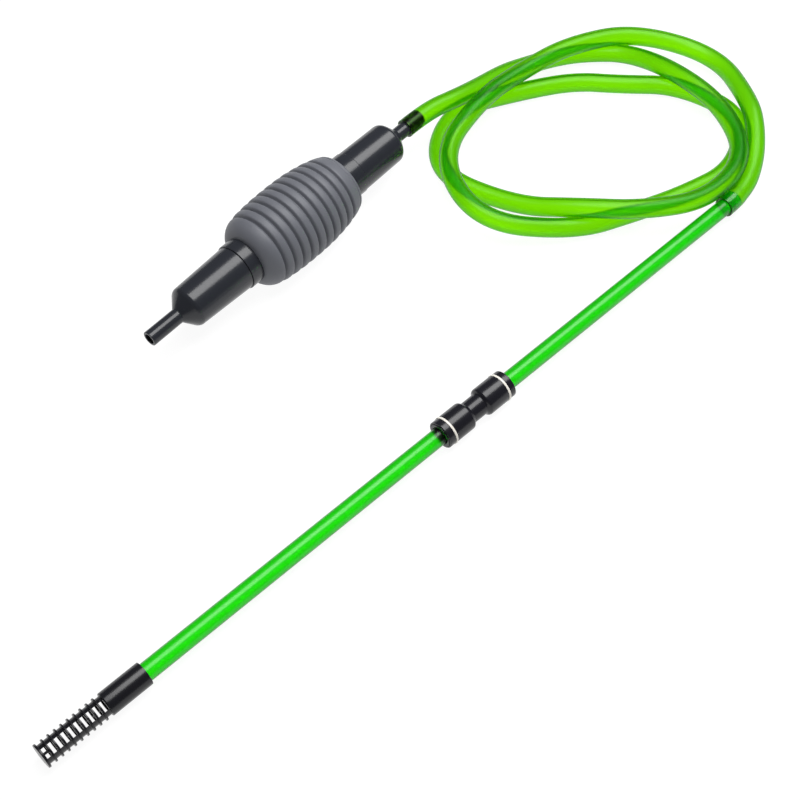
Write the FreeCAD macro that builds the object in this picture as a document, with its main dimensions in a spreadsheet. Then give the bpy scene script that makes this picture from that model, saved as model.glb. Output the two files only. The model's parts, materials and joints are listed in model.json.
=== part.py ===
import FreeCAD, Part
import math
import os

import Sketcher

# Gravel vacuum siphon: a slotted intake strainer on a wand of two rigid tubes, a push-in union
# between the tubes, a loose coil of soft hose, and a squeeze-bulb priming pump with two valves.
# Millimetres. The wand lies along X, Z is up, and everything rests on the plane z = 0.
# The origin is at the floor, in the middle of the box round the wand and the pump.

DIMENSIONS = [
    # wand: stations are measured from the strainer's tip
    ("wand_x", -301.8),
    ("wand_y", -103.6),
    ("wand_z", 10.3),
    ("tube_r", 6.0),
    ("tube_bore_r", 5.0),
    ("lower_tube_start", 52.8),
    ("union_start", 309.9),
    ("union_length", 59.2),
    ("tube_depth", 21.0),
    ("wand_length", 603.6),
    ("hose_cuff_start", 592.0),
    # strainer
    ("disc_r", 7.9),
    ("disc_thick", 1.4),
    ("core_r", 6.4),
    ("core_bore_r", 5.2),
    ("cage_length", 44.5),
    ("sleeve_r", 7.8),
    ("sleeve_end", 72.8),
    ("ring_r", 7.7),
    ("ring_thick", 1.3),
    ("ring_first", 5.4),
    ("ring_pitch", 4.39),
    ("ring_count", 9),
    ("slot_width", 2.9),
    ("slot_half", 3.2),
    ("slot_bar", 1.6),
    ("slot_roll", 24.4),
    # push-in union: stations are measured from a cap's end face, inwards
    ("cap_r", 9.8),
    ("cap_length", 4.7),
    ("cap_bevel", 0.6),
    ("recess_r", 8.7),
    ("recess_depth", 2.4),
    ("skirt_r", 9.0),
    ("skirt_end", 9.4),
    ("band_r", 10.3),
    ("band_end", 6.3),
    ("barrel_r", 10.0),
    ("barrel_end", 22.2),
    ("waist_start", 23.9),
    ("waist_r", 7.7),
    ("grip_end", 10.2),
    ("seal_start", 12.6),
    ("seal_end", 15.4),
    ("seal_r", 8.4),
    ("seal_section_r", 1.15),
    ("running_gap", 0.05),
    ("web_bore_r", 4.8),
    ("collar_r", 8.5),
    ("collar_thick", 1.4),
    ("collar_proud", 0.5),
    ("collar_sleeve_r", 7.4),
    ("collar_gap", 0.15),
    ("collar_length", 8.4),
    # pump: stations are measured from the front nozzle's mouth
    ("pump_x", -86.0),
    ("pump_y", 71.4),
    ("pump_z", 29.4),
    ("pump_angle", 5.34),
    ("pump_length", 268.5),
    ("spigot_r", 5.4),
    ("spigot_bore_r", 3.8),
    ("spigot_length", 25.5),
    ("shoulder_length", 10.0),
    ("wall", 1.9),
    ("front_small_r", 14.9),
    ("front_large_r", 16.4),
    ("front_length", 79.75),
    ("front_ring_r", 17.2),
    ("front_ring_width", 9.75),
    ("rear_small_r", 15.3),
    ("rear_large_r", 15.8),
    ("rear_length", 73.3),
    ("rear_ring_r", 16.3),
    ("rear_ring_width", 12.7),
    ("insert_depth", 15.0),
    ("insert_r", 14.2),
    ("insert_bore_r", 12.0),
    ("neck_length", 14.0),
    # squeeze bulb
    ("bulb_start", 89.5),
    ("bulb_end", 182.5),
    ("bulb_wall", 3.0),
    ("bulb_mid", 136.0),
    ("bulb_mid_r", 29.4),
    ("bulb_front_drop", 1.95),
    ("bulb_rear_drop", 3.4),
    ("groove_pitch", 7.64),
    ("groove_count", 10),
    ("groove_half", 1.5),
    ("groove_depth", 2.2),
    # check valves: stations are measured from the seat's upstream face, along the flow
    ("outlet_seat_at", 96.0),
    ("inlet_seat_at", 200.0),
    ("seat_thick", 2.5),
    ("seat_hole_r", 5.0),
    ("seat_lip_r", 6.3),
    ("seat_lip", 0.6),
    ("disc_gap", 0.05),
    ("valve_disc_r", 7.5),
    ("valve_disc_thick", 1.5),
    ("valve_travel", 3.0),
    ("stem_r", 1.2),
    ("stem_length", 10.0),
    ("stem_gap", 0.15),
    ("cage_bore_r", 10.6),
    ("cage_web", 3.0),
    ("cage_hole_r", 2.3),
    ("cage_hole_at", 6.6),
    ("cage_holes", 6),
    # hose
    ("hose_r", 7.0),
    ("hose_bore_r", 5.5),
    ("cuff_r", 7.4),
    ("coil_x", 278.6),
    ("coil_y", 1.6),
]

# The hose's route from the pump's spigot down to the coil, and from the coil up to the wand.
# The first two points of the pump end lie on the pump's axis, and the last two of the wand end
# on the wand's.
PUMP_LEAD = [
    (165.9, 94.95, 29.4),
    (190.0, 97.2, 29.4),
    (217.0, 94.0, 26.5),
    (241.5, 94.8, 21.0),
    (269.9, 96.6, 15.2),
    (292.4, 95.7, 8.6),
    (318.6, 87.1, 7.1),
    (339.4, 74.3, 7.1),
]
WAND_LEAD = [
    (290.0, -103.6, 10.3),
    (312.0, -103.6, 10.3),
    (338.4, -91.8, 12.4),
    (359.3, -74.9, 18.5),
    (376.9, -54.5, 21.0),
]
# Each turn's radius at twelve clock positions, clockwise, from 30 degrees above +X.
CLOCK_STEP = 30.0
COIL_RADII = [
    (94, 84, 89, 98, 93, 81, 74, 89, 118, 109, 78, 66),
    (65, 80, 102, 91, 75, 73, 89, 121, 119, 96, 85, 92),
    (114, 125, 116),
]

doc = FreeCAD.newDocument("gravel_siphon")
sheet = doc.addObject("Spreadsheet::Sheet", "Dims")
for row, (alias, size) in enumerate(DIMENSIONS, start=1):
    sheet.set("A%d" % row, alias)
    sheet.set("B%d" % row, str(size))
    sheet.setAlias("B%d" % row, alias)
doc.recompute()

D = {alias: float(sheet.get(alias)) for alias, size in DIMENSIONS}
SUB_PARTS = []


def worked_out(expression):
    """The number that an expression of the sheet's aliases gives."""
    return float(sheet.evalExpression(expression))


def bound(text):
    """The same expression, read from outside the sheet."""
    for alias in sorted(D, key=len, reverse=True):
        text = text.replace("{%s}" % alias, "Dims." + alias)
    return text


def number(text):
    for alias in D:
        text = text.replace("{%s}" % alias, "(%r)" % D[alias])
    return worked_out(text)


def plane(body, role):
    return next(f for f in body.Origin.OriginFeatures if f.Role == role)


def new_body(label):
    body = doc.addObject("PartDesign::Body", label)
    body.Label = label
    SUB_PARTS.append(body)
    return body


def flat_sketch(body, name, role="XY_Plane"):
    sketch = body.newObject("Sketcher::SketchObject", name)
    sketch.AttachmentSupport = [(plane(body, role), "")]
    sketch.MapMode = "FlatFace"
    return sketch


def pin_point(sketch, line, along, across):
    """Holds a line's first point at two expressions, along and across the sketch's axes."""
    for kind, text, axis in (("DistanceX", along, -2), ("DistanceY", across, -1)):
        size = number(text)
        if abs(size) < 1e-9:
            sketch.addConstraint(Sketcher.Constraint("PointOnObject", line, 1, axis))
            continue
        index = sketch.addConstraint(Sketcher.Constraint(kind, -1, 1, line, 1, size))
        if "{" in text:
            sketch.setExpression("Constraints[%d]" % index, bound(text))


def outline(sketch, corners):
    """A closed outline of straight lines through corners given as pairs of expressions."""
    first = sketch.GeometryCount
    points = [FreeCAD.Vector(number(u), number(v), 0) for u, v in corners]
    count = len(points)
    for k in range(count):
        sketch.addGeometry(Part.LineSegment(points[k], points[(k + 1) % count]))
    for k in range(count):
        following = first + (k + 1) % count
        sketch.addConstraint(Sketcher.Constraint("Coincident", first + k, 2, following, 1))
    for k, (u, v) in enumerate(corners):
        pin_point(sketch, first + k, u, v)


def turned(label, corners):
    """A body turned about X from an outline of (station, radius) corners."""
    body = new_body(label)
    sketch = flat_sketch(body, label + "_profile")
    outline(sketch, corners)
    turn = body.newObject("PartDesign::Revolution", label + "_turn")
    turn.Profile = sketch
    turn.ReferenceAxis = (sketch, ["H_Axis"])
    turn.Angle = 360.0
    doc.recompute()
    return body


def round_edges(body, places, radius):
    """Fillets the circular edges at the given (station, radius) places."""
    base = body.Tip
    names = []
    for index, edge in enumerate(base.Shape.Edges, start=1):
        if not isinstance(edge.Curve, Part.Circle):
            continue
        for station, edge_r in places:
            same_place = abs(edge.Curve.Center.x - station) < 0.01
            if same_place and abs(edge.Curve.Radius - edge_r) < 0.01:
                names.append("Edge%d" % index)
    fillet = body.newObject("PartDesign::Fillet", body.Label + "_rounding")
    fillet.Base = (base, names)
    fillet.Radius = radius
    doc.recompute()


def cut_through(body, sketch, name):
    """A pocket through the whole body, both ways from the sketch; it must take volume away."""
    before = body.Shape.Volume
    pocket = body.newObject("PartDesign::Pocket", name)
    pocket.Profile = sketch
    pocket.Type = "ThroughAll"
    pocket.SideType = "Symmetric"
    doc.recompute()
    if body.Shape.Volume >= before:
        raise ValueError(name + " cuts nothing")
    return pocket


def place(body, base, turn):
    """Sets a body down: base is three expressions, turn a rotation."""
    spot = FreeCAD.Vector(*[number(text) for text in base])
    body.Placement = FreeCAD.Placement(spot, turn)
    for axis, text in zip("xyz", base):
        body.setExpression(".Placement.Base." + axis, bound(text))


def about(axis, degrees):
    return FreeCAD.Rotation(FreeCAD.Vector(*axis), degrees)


UPRIGHT = (0, 0, 1)
ALONG = (1, 0, 0)


def on_wand(body, station, turn=about(UPRIGHT, 0)):
    place(body, ("{wand_x} + %s" % station, "{wand_y}", "{wand_z}"), turn)


def on_pump(body, station, backwards=False):
    """Puts a body's origin on the pump's axis, its +X towards the rear, or backwards."""
    reach = "(%s)" % station
    base = (
        "{pump_x} + %s * cos({pump_angle} * 1deg)" % reach,
        "{pump_y} + %s * sin({pump_angle} * 1deg)" % reach,
        "{pump_z}",
    )
    place(body, base, about(UPRIGHT, D["pump_angle"] + (180 if backwards else 0)))


def make_strainer():
    """Sleeve, core with rings and a closed end disc, slotted right through one way."""
    corners = [("0", "0"), ("0", "{disc_r}"), ("{disc_thick}", "{disc_r}"), ("{disc_thick}", "{core_r}")]
    for ring in range(int(D["ring_count"])):
        middle = "{ring_first} + %d * {ring_pitch}" % ring
        low = middle + " - {ring_thick} / 2"
        high = middle + " + {ring_thick} / 2"
        corners += [(low, "{core_r}"), (low, "{ring_r}"), (high, "{ring_r}"), (high, "{core_r}")]
    socket_r = "{tube_r} + {running_gap}"
    corners += [
        ("{cage_length}", "{core_r}"),
        ("{cage_length}", "{sleeve_r}"),
        ("{sleeve_end}", "{sleeve_r}"),
        ("{sleeve_end}", socket_r),
        ("{lower_tube_start}", socket_r),
        ("{lower_tube_start}", "{core_bore_r}"),
        ("{disc_thick}", "{core_bore_r}"),
        ("{disc_thick}", "0"),
    ]
    body = turned("strainer", corners)

    slots = flat_sketch(body, "slot_outline")
    first = "{ring_first} + 0.5 * {ring_pitch}"
    low = first + " - {slot_width} / 2"
    high = first + " + {slot_width} / 2"
    near = "0 - {slot_half}"
    far = "{slot_half}"
    outline(slots, [(low, near), (high, near), (high, far), (low, far)])
    slot = cut_through(body, slots, "slot")
    pattern = body.newObject("PartDesign::LinearPattern", "slots")
    pattern.Originals = [slot]
    pattern.Direction = (slots, ["H_Axis"])
    pattern.Occurrences = int(D["ring_count"])
    pattern.setExpression("Length", "Dims.ring_pitch * (Dims.ring_count - 1)")
    body.Tip = pattern
    doc.recompute()

    # the row beside the end disc is split by a bar
    split = flat_sketch(body, "split_slot_outline")
    middle = "{ring_first} - 0.5 * {ring_pitch}"
    low = middle + " - {slot_width} / 2"
    high = middle + " + {slot_width} / 2"
    for side in ("", "0 - "):
        near = side + "{slot_bar} / 2"
        far = side + "{slot_half}"
        outline(split, [(low, near), (high, near), (high, far), (low, far)])
    cut_through(body, split, "split_slot")
    on_wand(body, "0", about(ALONG, D["slot_roll"]))


def make_tubes():
    lengths = {
        "lower_tube": ("{lower_tube_start}", "{union_start} + {tube_depth}"),
        "upper_tube": ("{union_start} + {union_length} - {tube_depth}", "{wand_length}"),
    }
    for label, (start, end) in lengths.items():
        length = "%s - (%s)" % (end, start)
        corners = [("0", "{tube_bore_r}"), ("0", "{tube_r}"), (length, "{tube_r}"), (length, "{tube_bore_r}")]
        on_wand(turned(label, corners), start)


def make_union_body():
    """The waisted body: a barrel at each end, with the seal's groove and the tube's stop inside."""
    half = [
        ("{band_end}", "{skirt_r} + {running_gap}"),
        ("{band_end}", "{barrel_r}"),
        ("{barrel_end}", "{barrel_r}"),
        ("{waist_start}", "{waist_r}"),
    ]
    inner = [
        ("{tube_depth}", "{web_bore_r}"),
        ("{tube_depth}", "{tube_r} + {running_gap}"),
        ("{seal_end}", "{tube_r} + {running_gap}"),
        ("{seal_end}", "{seal_r}"),
        ("{grip_end}", "{seal_r}"),
        ("{grip_end}", "{skirt_r} + {running_gap}"),
    ]
    mirrored = [("{union_length} - (%s)" % u, v) for u, v in reversed(half)]
    mirrored_inner = [("{union_length} - (%s)" % u, v) for u, v in reversed(inner)]
    body = turned("connector_body", half + mirrored + mirrored_inner + inner)
    length = D["union_length"]
    rims = [D["barrel_end"], length - D["barrel_end"]]
    feet = [D["waist_start"], length - D["waist_start"]]
    round_edges(body, [(u, D["barrel_r"]) for u in rims] + [(u, D["waist_r"]) for u in feet], 1.2)
    on_wand(body, "{union_start}")


def make_union_end(side, station, turn):
    """The pieces in one end of the union, each with its origin at its own outer face."""
    cap = turned(side + "_cap", [
        ("0", "{recess_r}"),
        ("0", "{cap_r} - {cap_bevel}"),
        ("{cap_bevel}", "{cap_r}"),
        ("{cap_length}", "{cap_r}"),
        ("{cap_length}", "{skirt_r}"),
        ("{skirt_end}", "{skirt_r}"),
        ("{skirt_end}", "{collar_sleeve_r} + {collar_gap}"),
        ("{recess_depth}", "{collar_sleeve_r} + {collar_gap}"),
        ("{recess_depth}", "{recess_r}"),
    ])
    ring = turned(side + "_ring", [
        ("{cap_length}", "{skirt_r} + {running_gap}"),
        ("{cap_length}", "{band_r}"),
        ("{band_end}", "{band_r}"),
        ("{band_end}", "{skirt_r} + {running_gap}"),
    ])
    grip = turned(side + "_grip_ring", [
        ("{skirt_end}", "{collar_sleeve_r} + 0.4"),
        ("{skirt_end}", "{skirt_r}"),
        ("{skirt_end} + 0.5", "{skirt_r}"),
        ("{skirt_end} + 0.5", "{collar_sleeve_r} + 0.6"),
        ("{grip_end} + 1.2", "{tube_r} + {running_gap}"),
        ("{grip_end} + 0.7", "{tube_r} + {running_gap}"),
    ])
    slit = flat_sketch(grip, side + "_slit_outline", "YZ_Plane")
    outline(slit, [("0.25", "0"), ("0.25", "8.2"), ("0 - 0.25", "8.2"), ("0 - 0.25", "0")])
    pocket = cut_through(grip, slit, side + "_slit")
    teeth = grip.newObject("PartDesign::PolarPattern", side + "_teeth")
    teeth.Originals = [pocket]
    teeth.Axis = (slit, ["N_Axis"])
    teeth.Angle = 360.0
    teeth.Occurrences = 12
    grip.Tip = teeth
    doc.recompute()

    seal = doc.addObject("Part::Torus", side + "_o_ring")
    seal.Label = side + "_o_ring"
    seal.setExpression("Radius2", "Dims.seal_section_r")
    seal.setExpression("Radius1", "Dims.tube_r + Dims.running_gap + Dims.seal_section_r")
    SUB_PARTS.append(seal)

    collar = turned(side + "_collar", [
        ("0", "{tube_r} + {collar_gap} + 0.6"),
        ("0", "{collar_r}"),
        ("{collar_thick}", "{collar_r}"),
        ("{collar_thick}", "{collar_sleeve_r}"),
        ("{collar_length}", "{collar_sleeve_r}"),
        ("{collar_length}", "{tube_r} + {collar_gap}"),
        ("0.6", "{tube_r} + {collar_gap}"),
    ])
    round_edges(collar, [(0, D["collar_r"])], 0.5)

    for body in (cap, ring, grip):
        on_wand(body, station, turn)
    inwards = 1 if turn.Angle < 1 else -1
    on_wand(seal, "%s + %d * ({seal_start} + {seal_end}) / 2" % (station, inwards), about((0, 1, 0), 90))
    on_wand(collar, "%s - %d * {collar_proud}" % (station, inwards), turn)


def make_housing(side, backwards):
    """End housing: spigot, coned shoulder and a slightly tapered barrel, open at the bulb's end."""
    small = "{%s_small_r}" % side
    large = "{%s_large_r}" % side
    length = "{%s_length}" % side
    shoulder = "{spigot_length} + {shoulder_length}"
    cone_end = "{spigot_length} + 0.75 * {shoulder_length}"
    body = turned(side + "_housing", [
        ("0", "{spigot_bore_r}"),
        ("0", "{spigot_r} - 0.5"),
        ("0.5", "{spigot_r}"),
        ("{spigot_length}", "{spigot_r}"),
        (cone_end, small + " - 1.3"),
        (shoulder, small),
        (length, large),
        (length, "{insert_r} + {running_gap}"),
        (length + " - {insert_depth}", "{insert_r} + {running_gap}"),
        (length + " - {insert_depth}", "{insert_r} - 0.9"),
        (shoulder + " + 1.0", small + " - {wall}"),
        ("{spigot_length} + 1.0", "{spigot_bore_r}"),
    ])
    round_edges(body, [(number(cone_end), number(small) - 1.3), (number(shoulder), number(small))], 2.4)
    on_pump(body, "{pump_length}" if backwards else "0", backwards)

    ring_end = length + " + {%s_ring_width}" % side
    ring_r = "{%s_ring_r}" % side
    neck = turned(side + "_neck", [
        (length + " - {insert_depth}", "{insert_bore_r}"),
        (length + " - {insert_depth}", "{insert_r}"),
        (length, "{insert_r}"),
        (length, ring_r + " - 0.3"),
        (length + " + 0.3", ring_r),
        (ring_end, ring_r),
        (ring_end, "{insert_r}"),
        (ring_end + " + {neck_length}", "{insert_r}"),
        (ring_end + " + {neck_length}", "{insert_bore_r}"),
    ])
    on_pump(neck, "{pump_length}" if backwards else "0", backwards)


def bulb_r(place_text):
    """The bulb's outer radius at a number of groove pitches from its middle."""
    drop = "{bulb_front_drop}" if place_text.startswith("-") else "{bulb_rear_drop}"
    last = "(0.5 * ({groove_count} - 1))"
    return "{bulb_mid_r} - %s * (%s / %s)^2" % (drop, place_text.strip("-"), last)


def make_bulb():
    """Barrel-shaped bellows: rounded ends, ring grooves outside, a smooth hollow inside."""
    corners = [
        ("{bulb_start}", "{insert_r} + {running_gap}"),
        ("{bulb_start}", "18.4"),
        ("{bulb_start} + 0.8", "20.6"),
        ("{bulb_start} + 2.2", "22.6"),
        ("{bulb_start} + 4.5", "24.7"),
        ("{bulb_start} + 7.5", "26.3"),
    ]
    count = int(D["groove_count"])
    for groove in range(count):
        offset = "%+.1f" % (groove - 0.5 * (count - 1))
        middle = "{bulb_mid} %s * {groove_pitch}" % offset
        radius = bulb_r(offset if offset.startswith("-") else offset[1:])
        corners += [
            (middle + " - {groove_half}", radius),
            (middle, radius + " - {groove_depth}"),
            (middle + " + {groove_half}", radius),
        ]
    corners += [
        ("{bulb_end} - 5.5", "24.1"),
        ("{bulb_end} - 2.2", "22.8"),
        ("{bulb_end} - 0.6", "21.8"),
        ("{bulb_end}", "20.4"),
        ("{bulb_end}", "{insert_r} + {running_gap}"),
        ("{bulb_end} - 4", "{insert_r} + {running_gap}"),
        ("{bulb_end} - 8", "19"),
        ("{bulb_mid} + 20", "{bulb_mid_r} - {groove_depth} - {bulb_wall}"),
        ("{bulb_mid} - 20", "{bulb_mid_r} - {groove_depth} - {bulb_wall}"),
        ("{bulb_start} + 8", "21.5"),
        ("{bulb_start} + 4", "{insert_r} + {running_gap}"),
    ]
    on_pump(turned("squeeze_bulb", corners), "0")


def make_valve(side, station):
    """One check valve, its +X along the flow: seat, disc on a stem, and the cage that stops it."""
    seat = turned(side + "_valve_seat", [
        ("0", "{seat_hole_r}"),
        ("0", "{insert_bore_r} - {running_gap}"),
        ("{seat_thick}", "{insert_bore_r} - {running_gap}"),
        ("{seat_thick}", "{seat_lip_r}"),
        ("{seat_thick} + {seat_lip}", "{seat_lip_r}"),
        ("{seat_thick} + {seat_lip}", "{seat_hole_r}"),
    ])
    face = "{seat_thick} + {seat_lip} + {disc_gap}"
    back = face + " + {valve_disc_thick}"
    disc = turned(side + "_valve_disc", [
        (face, "0"),
        (face, "{valve_disc_r}"),
        (back, "{valve_disc_r} - 0.4"),
        (back, "{stem_r}"),
        (back + " + {stem_length}", "{stem_r}"),
        (back + " + {stem_length}", "0"),
    ])
    web = back + " + {valve_travel} + {disc_gap}"
    web_end = web + " + {cage_web}"
    cage = turned(side + "_valve_cage", [
        ("{seat_thick}", "{cage_bore_r}"),
        ("{seat_thick}", "{insert_bore_r} - {running_gap}"),
        (web_end, "{insert_bore_r} - {running_gap}"),
        (web_end, "{stem_r} + {stem_gap}"),
        (web, "{stem_r} + {stem_gap}"),
        (web, "{cage_bore_r}"),
    ])
    holes = flat_sketch(cage, side + "_flow_hole_outline", "YZ_Plane")
    centre = FreeCAD.Vector(D["cage_hole_at"], 0, 0)
    holes.addGeometry(Part.Circle(centre, FreeCAD.Vector(0, 0, 1), D["cage_hole_r"]))
    holes.addConstraint(Sketcher.Constraint("PointOnObject", 0, 3, -1))
    reach = holes.addConstraint(Sketcher.Constraint("DistanceX", -1, 1, 0, 3, D["cage_hole_at"]))
    holes.setExpression("Constraints[%d]" % reach, "Dims.cage_hole_at")
    size = holes.addConstraint(Sketcher.Constraint("Radius", 0, D["cage_hole_r"]))
    holes.setExpression("Constraints[%d]" % size, "Dims.cage_hole_r")
    hole = cut_through(cage, holes, side + "_flow_hole")
    pattern = cage.newObject("PartDesign::PolarPattern", side + "_flow_holes")
    pattern.Originals = [hole]
    pattern.Axis = (holes, ["N_Axis"])
    pattern.Angle = 360.0
    pattern.Occurrences = int(D["cage_holes"])
    cage.Tip = pattern
    doc.recompute()
    for body in (seat, disc, cage):
        on_pump(body, station, backwards=True)


def hose_path(points, name):
    """Straight runs joined by arcs, each as large as its two runs allow. Prints the radii."""
    spots = [FreeCAD.Vector(*point) for point in points]
    edges = []
    radii = []
    start = spots[0]
    for before, corner, after in zip(spots, spots[1:], spots[2:]):
        back = (before - corner).normalize()
        ahead = (after - corner).normalize()
        half_turn = (math.pi - back.getAngle(ahead)) / 2
        trim = 0.45 * min(before.distanceToPoint(corner), after.distanceToPoint(corner))
        radius = trim / math.tan(half_turn)
        radii.append(round(radius))
        enter = corner + back * trim
        leave = corner + ahead * trim
        to_centre = (back + ahead).normalize() * (radius / math.cos(half_turn))
        middle = corner + to_centre - FreeCAD.Vector(to_centre).normalize() * radius
        edges.append(Part.LineSegment(start, enter).toShape())
        edges.append(Part.Arc(enter, middle, leave).toShape())
        start = leave
    edges.append(Part.LineSegment(start, spots[-1]).toShape())
    print(name, "bend radii", radii)
    return Part.Wire(edges)


def swept(path, radius):
    """A round rod of one radius along a path."""
    first = path.Edges[0]
    ring = Part.makeCircle(radius, first.valueAt(first.FirstParameter), first.tangentAt(first.FirstParameter))
    rod = path.makePipeShell([Part.Wire(ring)], True, True)
    expected = math.pi * radius ** 2 * path.Length
    if abs(rod.Volume - expected) > 0.02 * expected:
        raise ValueError("a swept rod has the wrong volume")
    return rod


def soft_solid(label, shape):
    feature = doc.addObject("Part::Feature", label)
    feature.Label = label
    feature.Shape = shape
    SUB_PARTS.append(feature)


def make_hose_leads():
    """The hose's two uncoiled stretches, pushed over the pump's spigot and the upper tube."""
    path = hose_path(PUMP_LEAD, "hose_pump_lead")
    soft_solid("hose_pump_lead", swept(path, D["hose_r"]).cut(swept(path, D["hose_bore_r"])))

    path = hose_path(WAND_LEAD, "hose_wand_lead")
    start = FreeCAD.Vector(*WAND_LEAD[0])
    over_tube = D["wand_length"] - D["hose_cuff_start"] + 1.0
    cuff = Part.makeCylinder(D["cuff_r"], over_tube, start, FreeCAD.Vector(1, 0, 0))
    socket = Part.makeCylinder(D["tube_r"] + D["running_gap"], over_tube, start, FreeCAD.Vector(1, 0, 0))
    hose = swept(path, D["hose_r"]).fuse(cuff).cut(swept(path, D["hose_bore_r"])).cut(socket)
    soft_solid("hose_wand_lead", hose.removeSplitter())


def clock_outline(pick, grow):
    """A closed smooth line round the coil, at each clock position's picked radius plus grow."""
    points = []
    for hour in range(12):
        radii = [turn[hour] for turn in COIL_RADII if hour < len(turn)]
        angle = math.radians(CLOCK_STEP * (1 - hour))
        reach = pick(radii) + grow
        x = D["coil_x"] + reach * math.cos(angle)
        points.append(FreeCAD.Vector(x, D["coil_y"] + reach * math.sin(angle), 0))
    line = Part.BSplineCurve()
    line.interpolate(points, PeriodicFlag=True)
    return Part.Wire(line.toShape())


def make_coil():
    """One solid of the loose coil's outer shape, two hoses high, clear of the wand."""
    height = FreeCAD.Vector(0, 0, 4 * D["hose_r"])
    outer = Part.Face(clock_outline(max, D["hose_r"])).extrude(height)
    inner = Part.Face(clock_outline(min, -D["hose_r"])).extrude(height)
    start = FreeCAD.Vector(0, D["wand_y"], D["wand_z"])
    reach = D["wand_x"] + D["wand_length"] + 15
    wand = Part.makeCylinder(D["cuff_r"] + 0.6, reach, start, FreeCAD.Vector(1, 0, 0))
    soft_solid("hose_coil", outer.cut(inner).cut(wand))


def check_and_write():
    doc.recompute()
    for item in doc.Objects:
        if "Invalid" in item.State or "Error" in item.State:
            raise ValueError("failed object " + item.Label)
    os.makedirs("parts", exist_ok=True)
    for sub_part in SUB_PARTS:
        shape = sub_part.Shape
        if shape.isNull() or not shape.isValid() or len(shape.Solids) != 1:
            raise ValueError("bad shape " + sub_part.Label)
        shape.exportStep("parts/%s.step" % sub_part.Label)


make_strainer()
make_tubes()
make_union_body()
make_union_end("lower", "{union_start}", about(UPRIGHT, 0))
make_union_end("upper", "({union_start} + {union_length})", about(UPRIGHT, 180))
for side, backwards in (("front", False), ("rear", True)):
    make_housing(side, backwards)
make_bulb()
make_valve("outlet", "{outlet_seat_at}")
make_valve("inlet", "{inlet_seat_at}")
make_hose_leads()
make_coil()
check_and_write()
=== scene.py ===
import json
import math

import bmesh
import bpy
from mathutils import Matrix, Vector


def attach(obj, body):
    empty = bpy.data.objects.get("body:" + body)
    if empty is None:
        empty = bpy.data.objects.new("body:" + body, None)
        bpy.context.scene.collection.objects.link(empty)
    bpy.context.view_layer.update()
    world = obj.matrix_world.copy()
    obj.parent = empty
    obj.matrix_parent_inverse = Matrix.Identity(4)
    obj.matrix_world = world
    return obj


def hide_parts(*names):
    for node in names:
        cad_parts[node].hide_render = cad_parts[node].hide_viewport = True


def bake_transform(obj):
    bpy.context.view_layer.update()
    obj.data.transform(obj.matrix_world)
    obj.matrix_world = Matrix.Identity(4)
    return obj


# Gravel vacuum siphon in metres, in the CAD model's frame: the wand lies along X, Z is up.

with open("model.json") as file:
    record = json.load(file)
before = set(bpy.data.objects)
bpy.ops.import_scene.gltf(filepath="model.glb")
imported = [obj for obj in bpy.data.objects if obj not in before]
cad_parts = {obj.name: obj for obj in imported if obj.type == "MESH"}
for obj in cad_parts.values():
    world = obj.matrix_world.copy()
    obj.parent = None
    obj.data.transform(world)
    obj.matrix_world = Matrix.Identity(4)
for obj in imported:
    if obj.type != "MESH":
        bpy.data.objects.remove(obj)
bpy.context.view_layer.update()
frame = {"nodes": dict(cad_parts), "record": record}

MM = 0.001
WAND = Vector((-301.8, -103.6, 10.3))
PUMP = Vector((-86.0, 71.4, 29.4))
PUMP_ANGLE = math.radians(5.34)
PUMP_LENGTH = 268.5
UNION_START = 309.9
UNION_LENGTH = 59.2
UNION_STOP = 21.0  # how deep the tubes go into the union
TUBE_R = 6.0
TUBE_BORE_R = 5.0
ROUND = 96
PUMP_ROUND = 128
BULB_ROUND = 144

scene = bpy.context.scene


def link(obj):
    scene.collection.objects.link(obj)
    return obj


# camera ----------------------------------------------------------------------------------------

RIGHT = Vector((0.7259, -0.6878, 0.0))
UP = Vector((0.5659, 0.5973, 0.5684))
FORWARD = Vector((0.3909, 0.4126, -0.8228))

camera_data = bpy.data.cameras.new("camera")
camera_data.sensor_width = 36.0
camera_data.lens = 66.6
camera_data.clip_start = 0.01
camera_data.clip_end = 300.0
camera = link(bpy.data.objects.new("camera", camera_data))
turn = Matrix((RIGHT, UP, -FORWARD)).transposed().to_4x4()
camera.matrix_world = Matrix.Translation((-0.3661, -0.4612, 0.7984)) @ turn
scene.camera = camera

# hose ------------------------------------------------------------------------------------------

PUMP_LEAD = [
    (165.9, 94.95, 29.4),
    (190.0, 97.2, 29.4),
    (217.0, 94.0, 26.5),
    (241.5, 94.8, 21.0),
    (269.9, 96.6, 15.2),
    (292.4, 95.7, 8.6),
    (318.6, 87.1, 7.1),
    (339.4, 74.3, 7.1),
]
WAND_LEAD = [
    (290.0, -103.6, 10.3),
    (312.0, -103.6, 10.3),
    (338.4, -91.8, 12.4),
    (359.3, -74.9, 18.5),
    (376.9, -54.5, 21.0),
]
# the coil's route: a radius and a height every 30 degrees, clockwise, from 30 degrees above +X
COIL_MIDDLE = (278.6, 1.3)
COIL = [
    (97.3, 8.4), (81.6, 22.8), (91.5, 21.3), (103.9, 21.6), (98.0, 21.5), (84.7, 23.2),
    (81.0, 20.5), (93.5, 7.1), (131.5, 7.1), (117.7, 7.1), (75.1, 7.1), (64.9, 7.1),
    (62.4, 7.1), (86.0, 7.1), (111.5, 7.1), (98.5, 7.1), (75.3, 7.1), (72.0, 7.1),
    (91.2, 7.4), (132.1, 20.0), (125.8, 21.8), (93.4, 25.5), (81.7, 23.0), (88.4, 23.0),
    (109.7, 19.0), (131.1, 8.5),
]
HOSE_R = 7.0
HOSE_BORE_R = 5.5
CUFF_R = 7.45
CUFF_BORE_R = 6.1
CUFF_LENGTH = 13.0
CUFF_FADE = 7.0
SPIGOT_BORE_R = 5.2
ON_SPIGOT = 15.5
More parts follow.
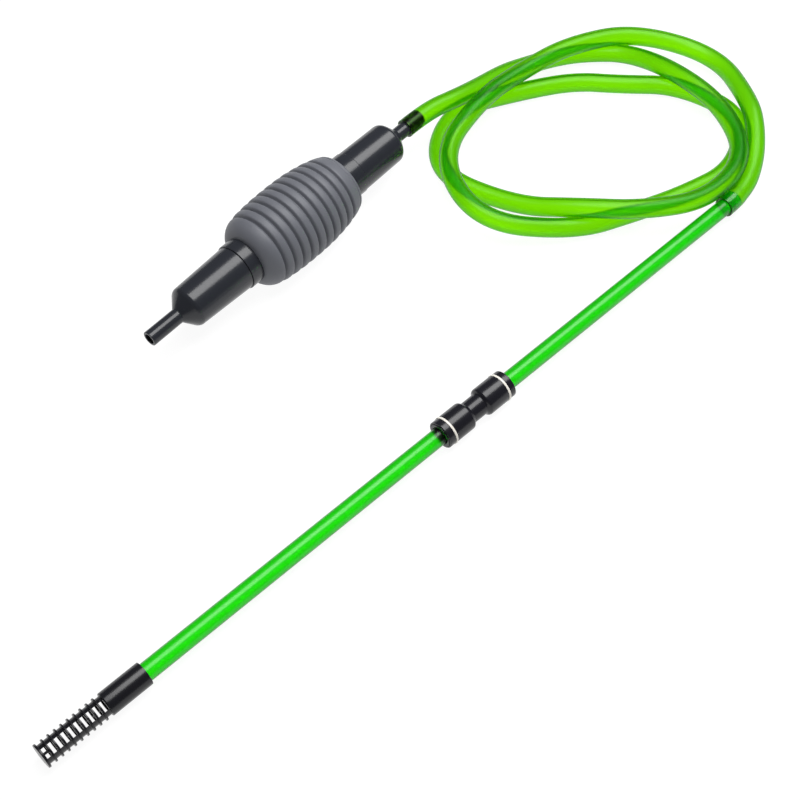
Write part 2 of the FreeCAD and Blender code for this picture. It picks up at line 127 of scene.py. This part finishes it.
OUTSIDE, CUT_END, INSIDE, OVER_TUBE = range(4)


def hose_route():
    route = list(PUMP_LEAD)
    for hour, (radius, height) in enumerate(COIL):
        angle = math.radians(30.0 * (1 - hour))
        x = COIL_MIDDLE[0] + radius * math.cos(angle)
        y = COIL_MIDDLE[1] + radius * math.sin(angle)
        route.append((x, y, height))
    return route + list(reversed(WAND_LEAD))


def spline_points(name, route):
    """The points along a quadratic NURBS line whose control points are the route's."""
    curve = bpy.data.curves.new(name, "CURVE")
    curve.dimensions = "3D"
    curve.resolution_u = 16
    spline = curve.splines.new("NURBS")
    spline.points.add(len(route) - 1)
    for point, place in zip(spline.points, route):
        point.co = (place[0] * MM, place[1] * MM, place[2] * MM, 1.0)
    spline.order_u = 3
    spline.use_endpoint_u = True
    holder = link(bpy.data.objects.new(name, curve))
    bpy.context.view_layer.update()
    evaluated = holder.evaluated_get(bpy.context.evaluated_depsgraph_get())
    mesh = bpy.data.meshes.new_from_object(evaluated)
    points = [vertex.co.copy() for vertex in mesh.vertices]
    bpy.data.meshes.remove(mesh)
    bpy.data.objects.remove(holder)
    return points


def frames_along(points):
    """A pair of crosswise directions at every point, carried along the line without twist."""
    across = Vector((0, 0, 1))
    frames = []
    for index, point in enumerate(points):
        before = points[max(index - 1, 0)]
        after = points[min(index + 1, len(points) - 1)]
        along = (after - before).normalized()
        across = (across - along * across.dot(along)).normalized()
        frames.append((point, across.copy(), along.cross(across)))
    return frames


def smooth_step(t):
    t = min(max(t, 0.0), 1.0)
    return t * t * (3 - 2 * t)


def make_hose():
    """One hollow tube from the pump's spigot to the wand, opened out where it grips the tube."""
    points = spline_points("hose_line", hose_route())
    left = [0.0]
    for a, b in zip(reversed(points), list(reversed(points))[1:]):
        left.append(left[-1] + (b - a).length / MM)
    left.reverse()
    segments = 40
    bm = bmesh.new()
    outer, inner = [], []
    for (point, across, other), to_end in zip(frames_along(points), left):
        cuff = 1 - smooth_step((to_end - CUFF_LENGTH) / CUFF_FADE)
        grip = 1 - smooth_step(left[0] - to_end - ON_SPIGOT)
        bore = HOSE_BORE_R + (CUFF_BORE_R - HOSE_BORE_R) * cuff
        bore += (SPIGOT_BORE_R - HOSE_BORE_R) * grip
        sizes = (HOSE_R + (CUFF_R - HOSE_R) * cuff, bore)
        for rings, radius in zip((outer, inner), sizes):
            ring = []
            for k in range(segments):
                angle = 2 * math.pi * k / segments
                reach = across * math.cos(angle) + other * math.sin(angle)
                ring.append(bm.verts.new(point + reach * radius * MM))
            rings.append(ring)
    for rings in (outer, inner):
        for low, high, to_end in zip(rings, rings[1:], left):
            skin = OVER_TUBE if to_end < CUFF_LENGTH - 1 else OUTSIDE
            for k in range(segments):
                n = (k + 1) % segments
                wall = bm.faces.new((low[k], low[n], high[n], high[k]))
                wall.smooth = True
                wall.material_index = skin if rings is outer else INSIDE
    for end in (0, -1):
        for k in range(segments):
            n = (k + 1) % segments
            cut = bm.faces.new((outer[end][k], outer[end][n], inner[end][n], inner[end][k]))
            cut.material_index = CUT_END
    for k in range(segments):
        n = (k + 1) % segments
        for end in (0, -1):
            for ring in (outer[end], inner[end]):
                bm.edges.get((ring[k], ring[n])).smooth = False
    bmesh.ops.recalc_face_normals(bm, faces=bm.faces)
    mesh = bpy.data.meshes.new("hose")
    bm.to_mesh(mesh)
    bm.free()
    hose = link(bpy.data.objects.new("hose", mesh))
    return hose


hose = make_hose()

# materials -------------------------------------------------------------------------------------

MIX_COLOUR_INPUTS = (0, 6, 7)
MIX_COLOUR_OUTPUT = 2


def node_material(name):
    material = bpy.data.materials.new(name)
    material.use_nodes = True
    nodes = material.node_tree.nodes
    return material, nodes, material.node_tree.links, nodes["Principled BSDF"]


def grain(nodes, links, shader, roughness, spread, scale, relief):
    """Uneven gloss and, where relief is given, fine bumps, from noise in object coordinates."""
    place = nodes.new("ShaderNodeTexCoord")
    clouds = nodes.new("ShaderNodeTexNoise")
    clouds.inputs["Scale"].default_value = scale * 0.12
    clouds.inputs["Detail"].default_value = 4.0
    links.new(place.outputs["Object"], clouds.inputs["Vector"])
    gloss = nodes.new("ShaderNodeMapRange")
    gloss.inputs["To Min"].default_value = roughness - spread
    gloss.inputs["To Max"].default_value = roughness + spread
    links.new(clouds.outputs["Fac"], gloss.inputs["Value"])
    links.new(gloss.outputs["Result"], shader.inputs["Roughness"])
    if not relief:
        return
    fine = nodes.new("ShaderNodeTexNoise")
    fine.inputs["Scale"].default_value = scale
    fine.inputs["Detail"].default_value = 6.0
    links.new(place.outputs["Object"], fine.inputs["Vector"])
    bump = nodes.new("ShaderNodeBump")
    bump.inputs["Strength"].default_value = relief
    bump.inputs["Distance"].default_value = 0.0002
    links.new(fine.outputs["Fac"], bump.inputs["Height"])
    links.new(bump.outputs["Normal"], shader.inputs["Normal"])


def moulded(name, colour, roughness, spread=0.03, scale=2200.0, relief=0.05, sheen=0.5):
    material, nodes, links, shader = node_material(name)
    shader.inputs["Base Color"].default_value = (*colour, 1.0)
    shader.inputs["IOR"].default_value = 1.48
    shader.inputs["Specular IOR Level"].default_value = sheen
    grain(nodes, links, shader, roughness, spread, scale, relief)
    return material


def clear(name, colour, roughness, spread, ior, relief=0.0, edge=None):
    """A clear tinted wall, deeper in colour where it is seen edge-on: partly the deeper tint of a
    thick wall, partly painted shade for the dark rims that refraction gives a clear tube.
    """
    material, nodes, links, shader = node_material(name)
    shader.inputs["Base Color"].default_value = (*colour, 1.0)
    shader.inputs["Transmission Weight"].default_value = 1.0
    shader.inputs["IOR"].default_value = ior
    grain(nodes, links, shader, roughness, spread, 260.0, relief)
    # Painted shade, partly real tint: the base colour darkens towards the edge colour where the
    # wall is seen edge-on.
    if edge:
        slant = nodes.new("ShaderNodeLayerWeight")
        slant.inputs["Blend"].default_value = 0.6
        edge_tint_and_shade = nodes.new("ShaderNodeMix")
        edge_tint_and_shade.data_type = "RGBA"
        factor, flat, deep_tint_and_shade = (edge_tint_and_shade.inputs[k] for k in MIX_COLOUR_INPUTS)
        flat.default_value = (*colour, 1.0)
        deep_tint_and_shade.default_value = (*edge, 1.0)
        links.new(slant.outputs["Facing"], factor)
        links.new(edge_tint_and_shade.outputs[MIX_COLOUR_OUTPUT], shader.inputs["Base Color"])
    return material


def steel(name):
    material, nodes, links, shader = node_material(name)
    shader.inputs["Base Color"].default_value = (0.62, 0.62, 0.6, 1.0)
    shader.inputs["Metallic"].default_value = 1.0
    grain(nodes, links, shader, 0.28, 0.06, 3000.0, 0.05)
    return material


MATERIALS = {
    "strainer_black": moulded("strainer_black", (0.008, 0.008, 0.011), 0.26, sheen=0.45),
    "union_black": moulded("union_black", (0.009, 0.009, 0.013), 0.24, sheen=0.45),
    "ring_ivory": moulded("ring_ivory", (0.8, 0.77, 0.7), 0.35),
    "tube_green": clear(
        "tube_green", (0.012, 0.74, 0.001), 0.285, 0.008, 1.42, edge=(0.0, 0.22, 0.0),
    ),
    "hose_lime": clear(
        "hose_lime", (0.2, 0.71, 0.0003), 0.3, 0.02, 1.22, 0.02, (0.012, 0.33, 0.0003),
    ),
    "bulb_grey": moulded(
        "bulb_grey", (0.122, 0.127, 0.146), 0.5, scale=1600.0, relief=0.08, sheen=0.4,
    ),
    "pump_charcoal": moulded("pump_charcoal", (0.02, 0.022, 0.028), 0.22, sheen=0.45),
    "valve_plastic": moulded("valve_plastic", (0.7, 0.7, 0.67), 0.5),
    "valve_rubber": moulded("valve_rubber", (0.02, 0.02, 0.02), 0.65, relief=0.1),
    "seal_rubber": moulded("seal_rubber", (0.015, 0.015, 0.015), 0.6, relief=0.1),
    "spring_steel": steel("spring_steel"),
}
# The hose's cut ends: a dark green with painted shade, standing in for the shadow and refraction
# that darken the cut end faces.
SHADED_CUT_FACE = clear("hose_cut_face_painted_shade", (0.02, 0.1, 0.004), 0.35, 0.03, 1.45)
GRIPPED = clear("hose_gripped", (0.02, 0.4, 0.006), 0.2, 0.03, 1.4)
BORE = clear("clear_bore", (0.95, 1.0, 0.92), 0.05, 0.02, 1.25)


def finish_piece(obj, slot, body, *nodes):
    """Paints a piece, fixes it to its body and lets it stand for its CAD nodes."""
    obj.data.materials.append(MATERIALS[slot])
    if body:
        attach(obj, body)
    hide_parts(*nodes)
    return obj


finish_piece(hose, "hose_lime", "pump_and_hose", "hose_pump_lead", "hose_coil", "hose_wand_lead")
for extra in (SHADED_CUT_FACE, BORE, GRIPPED):
    hose.data.materials.append(extra)

# turned pieces ---------------------------------------------------------------------------------


def on_wand(station, backwards=False, roll=0.0):
    """Where a piece's origin sits on the wand, its +X along the wand or against it."""
    place = Matrix.Translation((WAND + Vector((station, 0, 0))) * MM)
    facing = Matrix.Rotation(math.pi if backwards else 0.0, 4, "Z")
    return place @ facing @ Matrix.Rotation(roll, 4, "X")


def on_pump(station, backwards=False):
    """The same on the pump's axis, its +X towards the rear or against it."""
    axis = Vector((math.cos(PUMP_ANGLE), math.sin(PUMP_ANGLE), 0))
    place = Matrix.Translation((PUMP + axis * station) * MM)
    return place @ Matrix.Rotation(PUMP_ANGLE + (math.pi if backwards else 0.0), 4, "Z")


def eased(corners, steps=5):
    """A closed outline of (station, radius, rounding) corners with each rounding drawn out."""
    points = []
    count = len(corners)
    for k, corner in enumerate(corners):
        here = Vector(corner[:2])
        reach = corner[2] if len(corner) > 2 else 0.0
        if reach <= 0:
            points.append(here)
            continue
        before = Vector(corners[k - 1][:2]) - here
        after = Vector(corners[(k + 1) % count][:2]) - here
        reach = min(reach, before.length * 0.48, after.length * 0.48)
        enter = here + before.normalized() * reach
        leave = here + after.normalized() * reach
        for step in range(steps + 1):
            t = step / steps
            points.append(enter * (1 - t) ** 2 + here * 2 * t * (1 - t) + leave * t * t)
    return points


def add_turned(bm, outline, segments=ROUND):
    """Adds the solid swept by a closed outline of (station, radius) points turned about X."""
    rings = []
    for point in outline:
        if point[1] < 1e-6:
            rings.append([bm.verts.new((point[0] * MM, 0, 0))] * segments)
            continue
        ring = []
        for k in range(segments):
            angle = 2 * math.pi * k / segments
            ring.append(bm.verts.new((
                point[0] * MM,
                point[1] * MM * math.cos(angle),
                point[1] * MM * math.sin(angle),
            )))
        rings.append(ring)
    count = len(outline)
    for i in range(count):
        low, high = rings[i], rings[(i + 1) % count]
        if outline[i][1] < 1e-6 and outline[(i + 1) % count][1] < 1e-6:
            continue
        for k in range(segments):
            n = (k + 1) % segments
            corners = []
            for vertex in (low[k], low[n], high[n], high[k]):
                if vertex not in corners:
                    corners.append(vertex)
            bm.faces.new(corners).smooth = True
    for i in range(count):
        if outline[i][1] < 1e-6:
            continue
        back = Vector(outline[i]) - Vector(outline[i - 1])
        ahead = Vector(outline[(i + 1) % count]) - Vector(outline[i])
        if back.length < 1e-9 or ahead.length < 1e-9 or back.angle(ahead) < math.radians(28):
            continue
        for k in range(segments):
            edge = bm.edges.get((rings[i][k], rings[i][(k + 1) % segments]))
            edge.smooth = False


def piece_from(bm, name, place):
    bmesh.ops.recalc_face_normals(bm, faces=bm.faces)
    mesh = bpy.data.meshes.new(name)
    bm.to_mesh(mesh)
    bm.free()
    obj = link(bpy.data.objects.new(name, mesh))
    obj.matrix_world = place
    bpy.context.view_layer.update()
    return obj


def turned(name, corners, place, segments=ROUND):
    bm = bmesh.new()
    add_turned(bm, eased(corners), segments)
    return piece_from(bm, name, place)


def make_strainer():
    """Sleeve, nine finned rings, two side walls and a closed disc; the slots are the gaps left."""
    pitch, first = 4.39, 5.4
    core, bore, fin = 6.4, 5.2, 7.75
    bar, half_fin = 0.745, 0.65
    bm = bmesh.new()
    add_turned(bm, eased([
        (0, 0), (0, 7.95, 0.35), (1.5, 7.95, 0.3), (1.5, core, 0.1),
        (1.75, core), (1.75, bore), (1.4, bore), (1.4, 0),
    ], 3))
    for ring in range(9):
        middle = first + ring * pitch
        add_turned(bm, eased([
            (middle - bar, bore), (middle - bar, core), (middle - half_fin, core),
            (middle - half_fin + 0.08, fin, 0.28), (middle + half_fin - 0.08, fin, 0.28),
            (middle + half_fin, core), (middle + bar, core), (middle + bar, bore),
        ], 3))
    add_turned(bm, eased([
        (44.16, bore), (44.16, core), (44.4, core, 0.1), (44.5, 7.8, 0.7), (72.8, 7.8, 0.35),
        (72.8, 6.05, 0.2), (52.8, 6.05), (52.8, bore),
    ]))
    steps = 14
    sweeps = ((core - 0.02, math.acos(3.2 / core)), (bore + 0.02, -math.acos(3.2 / bore)))
    for side in (1, -1):
        section = []
        for radius, limit in sweeps:
            for k in range(steps + 1):
                angle = -limit + 2 * limit * k / steps
                section.append((side * radius * math.cos(angle), radius * math.sin(angle)))
        ends = []
        for station in (1.2, 44.2):
            ends.append([bm.verts.new((station * MM, y * MM, z * MM)) for y, z in section])
        count = len(section)
        for k in range(count):
            n = (k + 1) % count
            face = bm.faces.new((ends[0][k], ends[0][n], ends[1][n], ends[1][k]))
            face.smooth = k not in (steps, count - 1)
        for ring in ends:
            bm.faces.new(ring)
    for side in (1, -1):
        middle = Matrix.Translation((3.2 * MM, 0, side * 5.8 * MM))
        shape = Matrix.Diagonal((3.6 * MM, 1.6 * MM, 1.1 * MM, 1.0))
        bmesh.ops.create_cube(bm, size=1.0, matrix=middle @ shape)
    piece = piece_from(bm, "strainer_body", on_wand(0, roll=math.radians(24.4)))
    return finish_piece(piece, "strainer_black", "intake", "strainer")


def make_tubes():
    low, high = UNION_START + UNION_STOP, UNION_START + UNION_LENGTH - UNION_STOP
    for name, start, end, body in (
        ("lower_tube", 52.8, low, "wand_tube"),
        ("upper_tube", high, 603.6, "pump_and_hose"),
    ):
        length = end - start
        stops = [length * k / 12 for k in range(1, 12)]
        corners = [(0, TUBE_BORE_R, 0.25), (0, TUBE_R, 0.25)]
        corners += [(stop, TUBE_R) for stop in stops]
        corners += [(length, TUBE_R, 0.25), (length, TUBE_BORE_R, 0.25)]
        corners += [(stop, TUBE_BORE_R) for stop in reversed(stops)]
        piece = turned(name + "_clear", corners, on_wand(start))
        finish_piece(piece, "tube_green", body, name)
        piece.data.materials.append(BORE)
        for face in piece.data.polygons:
            at = [piece.data.vertices[index].co for index in face.vertices]
            if all(math.hypot(co.y, co.z) < (TUBE_BORE_R + 0.05) * MM for co in at):
                face.material_index = 1


def make_union():
    outside = [(6.3, 9.05), (6.3, 10.0, 0.3), (22.2, 10.0, 1.3), (23.8, 7.7, 1.0)]
    inside = [(10.2, 9.05), (10.2, 8.4), (15.4, 8.4), (15.4, 6.05), (21.0, 6.05), (21.0, 4.8)]
    corners = list(outside)
    corners += [(UNION_LENGTH - c[0], *c[1:]) for c in reversed(outside)]
    corners += [(UNION_LENGTH - c[0], *c[1:]) for c in inside]
    corners += list(reversed(inside))
    piece = turned("union_barrel", corners, on_wand(UNION_START))
    finish_piece(piece, "union_black", "union", "connector_body")
    for side, station in (("lower", UNION_START), ("upper", UNION_START + UNION_LENGTH)):
        place = on_wand(station, side == "upper")
        cap = turned(side + "_end_cap", [
            (0, 8.7, 0.2), (0, 9.85, 0.8), (4.7, 9.85, 0.2), (4.7, 9.0),
            (9.4, 9.0), (9.4, 7.55), (2.4, 7.55), (2.4, 8.7),
        ], place)
        finish_piece(cap, "union_black", "union", side + "_cap")
        ring = turned(side + "_band", [
            (4.7, 9.05), (4.7, 10.3, 0.35), (6.3, 10.3, 0.35), (6.3, 9.05),
        ], place)
        finish_piece(ring, "ring_ivory", "union", side + "_ring")
        collar = turned(side + "_release_collar", [
            (-0.5, 6.75, 0.3), (-0.5, 8.5, 0.45), (0.9, 8.5, 0.2), (0.9, 7.4),
            (7.9, 7.4), (7.9, 6.15), (0.1, 6.15, 0.3),
        ], place)
        finish_piece(collar, "union_black", side + "_release", side + "_collar")


def make_housings():
    for side, small, large, length, ring_r, ring_width, dome in (
        ("front", 14.9, 16.4, 79.75, 17.2, 9.75, 0.9),
        ("rear", 15.3, 15.8, 73.3, 16.3, 12.7, 4.0),
    ):
        backwards = side == "rear"
        body = "pump_and_hose" if backwards else "pump_front"
        place = on_pump(PUMP_LENGTH if backwards else 0, backwards)
        housing = turned(side + "_barrel", [
            (0, 3.8, 0.35), (0, 5.45, 0.6), (25.6, 5.4, 0.5), (33.4, small - 1.0, dome),
            (35.3, small, dome), (length, large, 0.35), (length, 14.25), (length - 15.0, 14.25),
            (length - 15.0, 13.3), (36.5, small - 1.9, 2.0), (26.6, 3.8, 0.6),
        ], place, PUMP_ROUND)
        finish_piece(housing, "pump_charcoal", body, side + "_housing")
        end = length + ring_width
        neck = turned(side + "_sleeve", [
            (length - 15.0, 12.0, 0.2), (length - 15.0, 14.2, 0.2), (length + 0.15, 14.2),
            (length + 0.15, ring_r, 0.45), (end, ring_r, 0.3), (end, 14.2),
            (end + 14.0, 14.2, 0.3), (end + 14.0, 12.0, 0.3),
        ], place, PUMP_ROUND)
        finish_piece(neck, "pump_charcoal", body, side + "_neck")


# the bulb's stations along the pump and its radii there, from the front end to the rear
BULB = [
    (89.5, 18.0), (90.2, 20.2), (91.5, 22.3), (94.0, 24.6), (97.0, 26.2), (100.5, 27.2),
    (104.0, 27.9), (112.0, 28.7), (120.0, 29.2), (128.0, 29.38), (136.0, 29.4), (143.0, 29.25),
    (150.0, 28.9), (156.0, 28.3), (162.0, 27.5), (168.0, 26.5), (173.0, 25.3), (177.0, 24.1),
    (180.0, 23.0), (181.6, 22.2), (182.3, 21.3), (182.5, 20.0),
]
HOLLOW = [
    (182.5, 14.3), (178.5, 14.3), (174.5, 19.0), (156.0, 24.0), (136.0, 25.0), (116.0, 24.6),
    (97.5, 21.5), (93.5, 14.3), (89.5, 14.3),
]
GROOVES = [136.0 + 7.64 * (k - 4.5) for k in range(10)]
END_GROOVE = 179.6
BULB_STEP = 0.32


def bulb_radius(station):
    """The bulb's outer radius, grooves left out, from a smooth line through its stations."""
    k = 0
    while k < len(BULB) - 2 and BULB[k + 1][0] < station:
        k += 1
    (x0, y0), (x1, y1) = BULB[k], BULB[k + 1]
    before, after = BULB[max(k - 1, 0)], BULB[min(k + 2, len(BULB) - 1)]
    width = x1 - x0
    slope0 = (y1 - before[1]) / (x1 - before[0]) * width
    slope1 = (after[1] - y0) / (after[0] - x0) * width
    t = (station - x0) / width
    return (
        y0 * (2 * t ** 3 - 3 * t ** 2 + 1) + slope0 * (t ** 3 - 2 * t ** 2 + t)
        + y1 * (3 * t ** 2 - 2 * t ** 3) + slope1 * (t ** 3 - t ** 2)
    )


def make_bulb():
    """Bellows bulb: crowned ribs between narrow rounded grooves, and a smooth hollow inside."""
    outline = []
    station = BULB[0][0]
    while station <= BULB[-1][0]:
        radius = bulb_radius(station)
        near = min(abs(station - groove) for groove in GROOVES)
        radius -= 2.1 * math.exp(-((near / 0.95) ** 2)) + 0.4 * math.exp(-((near / 2.2) ** 2))
        radius -= 0.5 * math.exp(-(((station - END_GROOVE) / 0.5) ** 2))
        outline.append((station, radius))
        station += BULB_STEP
    outline.append(BULB[-1])
    outline += HOLLOW
    bm = bmesh.new()
    add_turned(bm, [Vector(point) for point in outline], BULB_ROUND)
    bulb = piece_from(bm, "bellows_bulb", on_pump(0))
    bulb.data.transform(bulb.matrix_world)
    bulb.matrix_world = Matrix.Identity(4)
    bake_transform(bulb)
    finish_piece(bulb, "bulb_grey", None, "squeeze_bulb")


def paint_inner_pieces():
    """The valves, seals and grip rings keep their CAD shapes."""
    slots = {entry["node"]: entry["material_slot"] for entry in frame["record"]["subparts"]}
    for name, obj in frame["nodes"].items():
        if obj.hide_render:
            continue
        obj.data.materials.clear()
        obj.data.materials.append(MATERIALS[slots[name]])


make_strainer()
make_tubes()
make_union()
make_housings()
make_bulb()
paint_inner_pieces()

# floor, light and picture ----------------------------------------------------------------------


def make_floor():
    material, nodes, links, shader = node_material("floor_white")
    shader.inputs["Base Color"].default_value = (0.12, 0.12, 0.12, 1.0)
    shader.inputs["Roughness"].default_value = 0.9
    shader.inputs["Specular IOR Level"].default_value = 0.1
    shader.inputs["Emission Color"].default_value = (1.0, 1.0, 1.0, 1.0)
    shader.inputs["Emission Strength"].default_value = 0.94
    bm = bmesh.new()
    bmesh.ops.create_grid(bm, x_segments=1, y_segments=1, size=80.0)
    floor = piece_from(bm, "floor", Matrix.Translation((0, 0, -0.0004)))
    floor.data.materials.append(material)


def make_light():
    """One soft box that looks straight down."""
    data = bpy.data.lights.new("soft_box", "AREA")
    data.shape = "RECTANGLE"
    data.size = 1.65
    data.size_y = 0.8
    data.energy = 27.0
    light = link(bpy.data.objects.new("soft_box", data))
    light.location = (0.575, 0.0, 1.15)


make_floor()
make_light()

world = bpy.data.worlds.new("studio")
world.use_nodes = True
world.node_tree.nodes["Background"].inputs["Color"].default_value = (1.0, 1.0, 1.0, 1.0)
world.node_tree.nodes["Background"].inputs["Strength"].default_value = 0.1
scene.world = world
scene.view_settings.view_transform = "Standard"
scene.view_settings.look = "None"
scene.cycles.max_bounces = 24
scene.cycles.transmission_bounces = 20
scene.cycles.transparent_max_bounces = 16
